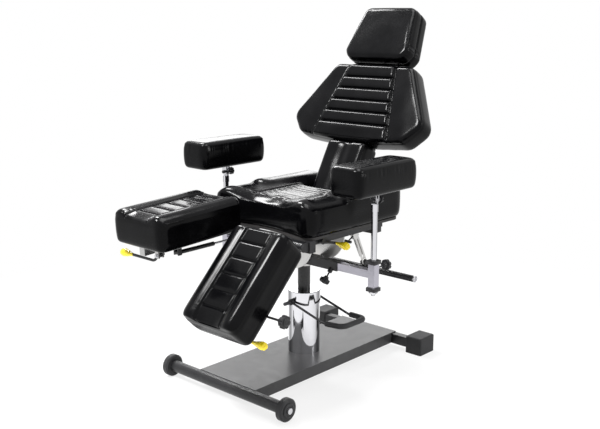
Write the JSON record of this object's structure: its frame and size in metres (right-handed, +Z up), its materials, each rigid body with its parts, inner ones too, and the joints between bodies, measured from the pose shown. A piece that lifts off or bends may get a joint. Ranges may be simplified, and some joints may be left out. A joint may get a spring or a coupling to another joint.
{
  "type": "tattoo chair",
  "caption": "Hydraulic tattoo chair with split leg rests, winged reclining back, headrest and post armrests on a wheeled flat base",
  "frame": {"origin": "on the floor, in the middle of the chair's outline", "axes": "+Z up, -Y the way the sitter faces, +X the sitter's left"},
  "size_m": [0.898, 1.3, 1.3934],
  "materials": {
    "base_coat": "dark grey satin powder coat",
    "frame_black": "satin black enamel",
    "wheel_plastic": "black moulded plastic",
    "foot_rubber": "black rubber",
    "bolt_steel": "bright zinc plate",
    "pump_steel": "dark machined steel",
    "cover_chrome": "polished chrome",
    "column_black": "black oxide",
    "bracket_zinc": "zinc plate",
    "board_wood": "plywood board stained black",
    "vinyl": "glossy black upholstery",
    "grip_yellow": "glossy yellow plastic",
    "knob_black": "black moulded plastic",
    "tube_anodised": "satin silver",
    "post_chrome": "polished chrome"
  },
  "bodies": {
    "base": {"base_plate": "base_coat", "axle_tube": "frame_black", "rear_tube": "frame_black", "rear_feet": "foot_rubber", "wheel_bolts": "bolt_steel", "pump_body": "pump_steel", "pump_cover": "cover_chrome"},
    "wheel_left": {"wheel_left": "wheel_plastic"},
    "wheel_right": {"wheel_right": "wheel_plastic"},
    "pedal": {"pedal_rod": "frame_black", "pedal_grip": "foot_rubber"},
    "lift": {"lift_column": "column_black"},
    "swivel": {"column_head": "bracket_zinc", "bar_rail": "frame_black", "cross_bar": "frame_black", "arm_receiver": "frame_black", "seat_frame": "frame_black", "seat_board": "board_wood", "seat_cushion": "vinyl", "back_hinge_pin": "bolt_steel", "strut_guide": "bracket_zinc"},
    "seat_lever": {"seat_lever": "frame_black", "seat_grip": "grip_yellow"},
    "back": {"back_bracket": "frame_black", "back_board": "board_wood", "back_cushion": "vinyl", "lumbar_pad": "vinyl"},
    "strut_bar": {"strut_bar": "bracket_zinc"},
    "strut_handle": {"strut_handle": "frame_black"},
    "head_slide": {"head_posts": "post_chrome"},
    "headrest": {"head_board": "frame_black", "head_cushion": "vinyl"},
    "leg_left": {"leg_frame_left": "frame_black"},
    "leg_slide_left": {"leg_slide_left": "bracket_zinc", "leg_cushion_left": "vinyl"},
    "leg_lever_left": {"leg_lever_left": "frame_black", "leg_grip_left": "grip_yellow"},
    "leg_knob_left": {"leg_knob_left": "knob_black"},
    "leg_strut_left": {"leg_strut_left": "frame_black"},
    "leg_strut_rod_left": {"leg_strut_rod_left": "post_chrome"},
    "arm_slide_left": {"arm_slide_left": "tube_anodised"},
    "arm_post_left": {"arm_post_left": "post_chrome"},
    "arm_turn_left": {"arm_eye_left": "post_chrome"},
    "arm_rest_left": {"arm_clevis_left": "post_chrome", "arm_pad_left": "vinyl"},
    "post_knob_left": {"post_knob_left": "knob_black"},
    "clevis_knob_left": {"clevis_knob_left": "knob_black"},
    "reach_knob_left": {"reach_knob_left": "knob_black"},
    "leg_right": {"leg_frame_right": "frame_black"},
    "leg_slide_right": {"leg_slide_right": "bracket_zinc", "leg_cushion_right": "vinyl"},
    "leg_lever_right": {"leg_lever_right": "frame_black", "leg_grip_right": "grip_yellow"},
    "leg_knob_right": {"leg_knob_right": "knob_black"},
    "leg_strut_right": {"leg_strut_right": "frame_black"},
    "leg_strut_rod_right": {"leg_strut_rod_right": "post_chrome"},
    "arm_slide_right": {"arm_slide_right": "tube_anodised"},
    "arm_post_right": {"arm_post_right": "post_chrome"},
    "arm_turn_right": {"arm_eye_right": "post_chrome"},
    "arm_rest_right": {"arm_clevis_right": "post_chrome", "arm_pad_right": "vinyl"},
    "post_knob_right": {"post_knob_right": "knob_black"},
    "clevis_knob_right": {"clevis_knob_right": "knob_black"},
    "reach_knob_right": {"reach_knob_right": "knob_black"}
  },
  "joints": [
    {"name": "wheel_left_roll", "type": "hinge", "parent": "base", "child": "wheel_left", "pos_m": [0.301, -0.3903, 0.042], "axis": [1, 0, 0], "continuous": true},
    {"name": "wheel_right_roll", "type": "hinge", "parent": "base", "child": "wheel_right", "pos_m": [-0.301, -0.3903, 0.042], "axis": [1, 0, 0], "continuous": true},
    {"name": "pedal_press", "type": "hinge", "parent": "base", "child": "pedal", "pos_m": [0, 0.0347, 0.278], "axis": [0, 1, 0], "range_deg": [0, 22], "stiffness_Nm_per_rad": 12, "springref_deg": -20.05},
    {"name": "seat_height", "type": "slide", "parent": "base", "child": "lift", "axis": [0, 0, 1], "range_m": [-0.084, 0.085]},
    {"name": "seat_turn", "type": "hinge", "parent": "lift", "child": "swivel", "pos_m": [0, 0.0347, 0.44], "axis": [0, 0, 1], "continuous": true},
    {"name": "seat_lever_lift", "type": "hinge", "parent": "swivel", "child": "seat_lever", "pos_m": [0.19, -0.0753, 0.56], "axis": [1, 0, 0], "range_deg": [0, 10], "stiffness_Nm_per_rad": 1, "springref_deg": -17.19},
    {"name": "back_recline", "type": "hinge", "parent": "swivel", "child": "back", "pos_m": [0, 0.2647, 0.575], "axis": [-1, 0, 0], "range_deg": [-10, 55]},
    {"name": "strut_bar_slide", "type": "slide", "parent": "swivel", "child": "strut_bar", "axis": [0, -0.4476, 0.8942], "range_m": [-0.03, 0.06]},
    {"name": "strut_handle_turn", "type": "hinge", "parent": "swivel", "child": "strut_handle", "pos_m": [0.072, 0.22906, 0.49237], "axis": [0, -0.8942, -0.4476], "range_deg": [-45, 90]},
    {"name": "headrest_height", "type": "slide", "parent": "back", "child": "head_slide", "axis": [0, 0.5, 0.866], "range_m": [0, 0.11]},
    {"name": "headrest_tilt", "type": "hinge", "parent": "head_slide", "child": "headrest", "pos_m": [0, 0.59411, 1.18156], "axis": [1, 0, 0], "range_deg": [-25, 6]},
    {"name": "leg_swing_left", "type": "hinge", "parent": "swivel", "child": "leg_left", "pos_m": [0.155, -0.2303, 0.575], "axis": [-1, 0, 0], "range_deg": [-25, 54]},
    {"name": "leg_extend_left", "type": "slide", "parent": "leg_left", "child": "leg_slide_left", "axis": [0, -0.7034, -0.7108], "range_m": [0, 0.1]},
    {"name": "leg_lever_lift_left", "type": "hinge", "parent": "leg_slide_left", "child": "leg_lever_left", "pos_m": [0.085, -0.50046, 0.31337], "axis": [0, -0.7034, -0.7108], "range_deg": [0, 6], "stiffness_Nm_per_rad": 2, "springref_deg": -17.19},
    {"name": "leg_knob_turn_left", "type": "hinge", "parent": "leg_left", "child": "leg_knob_left", "pos_m": [0.33, -0.4393, 0.38086], "axis": [1, 0, 0], "continuous": true},
    {"name": "leg_strut_swing_left", "type": "hinge", "parent": "leg_left", "child": "leg_strut_left", "pos_m": [0.155, -0.37779, 0.38331], "axis": [1, 0, 0], "range_deg": [-14, 14]},
    {"name": "leg_strut_stroke_left", "type": "slide", "parent": "leg_strut_left", "child": "leg_strut_rod_left", "axis": [0, 0.7854, 0.619], "range_m": [-0.08, 0.08]},
    {"name": "arm_reach_left", "type": "slide", "parent": "swivel", "child": "arm_slide_left", "axis": [1, 0, 0], "range_m": [-0.06, 0.1]},
    {"name": "arm_height_left", "type": "slide", "parent": "arm_slide_left", "child": "arm_post_left", "axis": [0, 0, 1], "range_m": [0, 0.07]},
    {"name": "arm_turn_left", "type": "hinge", "parent": "arm_post_left", "child": "arm_turn_left", "pos_m": [0.382, -0.0173, 0.701], "axis": [0, 0, 1], "range_deg": [-90, 90]},
    {"name": "arm_tilt_left", "type": "hinge", "parent": "arm_turn_left", "child": "arm_rest_left", "pos_m": [0.382, -0.0173, 0.732], "axis": [0, 1, 0], "range_deg": [-22, 22]},
    {"name": "post_knob_turn_left", "type": "hinge", "parent": "arm_slide_left", "child": "post_knob_left", "pos_m": [0.382, 0.0447, 0.481], "axis": [0, 1, 0], "continuous": true},
    {"name": "clevis_knob_turn_left", "type": "hinge", "parent": "arm_turn_left", "child": "clevis_knob_left", "pos_m": [0.382, 0.0047, 0.732], "axis": [0, 1, 0], "continuous": true},
    {"name": "reach_knob_turn_left", "type": "hinge", "parent": "swivel", "child": "reach_knob_left", "pos_m": [0.195, -0.0553, 0.423], "axis": [0, -0.7071, -0.7071], "continuous": true},
    {"name": "leg_swing_right", "type": "hinge", "parent": "swivel", "child": "leg_right", "pos_m": [-0.155, -0.2303, 0.575], "axis": [-1, 0, 0], "range_deg": [-67, 12]},
    {"name": "leg_extend_right", "type": "slide", "parent": "leg_right", "child": "leg_slide_right", "axis": [0, -0.9987, -0.0506], "range_m": [0, 0.1]},
    {"name": "leg_lever_lift_right", "type": "hinge", "parent": "leg_slide_right", "child": "leg_lever_right", "pos_m": [-0.085, -0.60622, 0.56397], "axis": [0, 0.9987, 0.0506], "range_deg": [0, 6], "stiffness_Nm_per_rad": 2, "springref_deg": -17.19},
    {"name": "leg_knob_turn_right", "type": "hinge", "parent": "leg_right", "child": "leg_knob_right", "pos_m": [-0.33, -0.51554, 0.57257], "axis": [-1, 0, 0], "continuous": true},
    {"name": "leg_strut_swing_right", "type": "hinge", "parent": "leg_right", "child": "leg_strut_right", "pos_m": [-0.155, -0.46847, 0.5329], "axis": [1, 0, 0], "range_deg": [-14, 14]},
    {"name": "leg_strut_stroke_right", "type": "slide", "parent": "leg_strut_right", "child": "leg_strut_rod_right", "axis": [0, 1, 0.0074], "range_m": [-0.08, 0.08]},
    {"name": "arm_reach_right", "type": "slide", "parent": "swivel", "child": "arm_slide_right", "axis": [-1, 0, 0], "range_m": [-0.06, 0.1]},
    {"name": "arm_height_right", "type": "slide", "parent": "arm_slide_right", "child": "arm_post_right", "axis": [0, 0, 1], "range_m": [-0.013, 0.057]},
    {"name": "arm_turn_right", "type": "hinge", "parent": "arm_post_right", "child": "arm_turn_right", "pos_m": [-0.382, -0.0173, 0.714], "axis": [0, 0, 1], "range_deg": [-90, 90]},
    {"name": "arm_tilt_right", "type": "hinge", "parent": "arm_turn_right", "child": "arm_rest_right", "pos_m": [-0.382, -0.0173, 0.745], "axis": [0, -1, 0], "range_deg": [-22, 22]},
    {"name": "post_knob_turn_right", "type": "hinge", "parent": "arm_slide_right", "child": "post_knob_right", "pos_m": [-0.382, 0.0447, 0.481], "axis": [0, 1, 0], "continuous": true},
    {"name": "clevis_knob_turn_right", "type": "hinge", "parent": "arm_turn_right", "child": "clevis_knob_right", "pos_m": [-0.382, 0.0047, 0.745], "axis": [0, 1, 0], "continuous": true},
    {"name": "reach_knob_turn_right", "type": "hinge", "parent": "swivel", "child": "reach_knob_right", "pos_m": [-0.195, -0.0553, 0.423], "axis": [0, -0.7071, -0.7071], "continuous": true}
  ],
  "couplings": [
    {"joint": "strut_bar_slide", "follows": "back_recline", "m_per_rad": 0.04025},
    {"joint": "leg_strut_swing_left", "follows": "leg_swing_left", "ratio": 0.09},
    {"joint": "leg_strut_stroke_left", "follows": "leg_swing_left", "m_per_rad": 0.054},
    {"joint": "leg_strut_swing_right", "follows": "leg_swing_right", "ratio": 0.085},
    {"joint": "leg_strut_stroke_right", "follows": "leg_swing_right", "m_per_rad": 0.052}
  ]
}
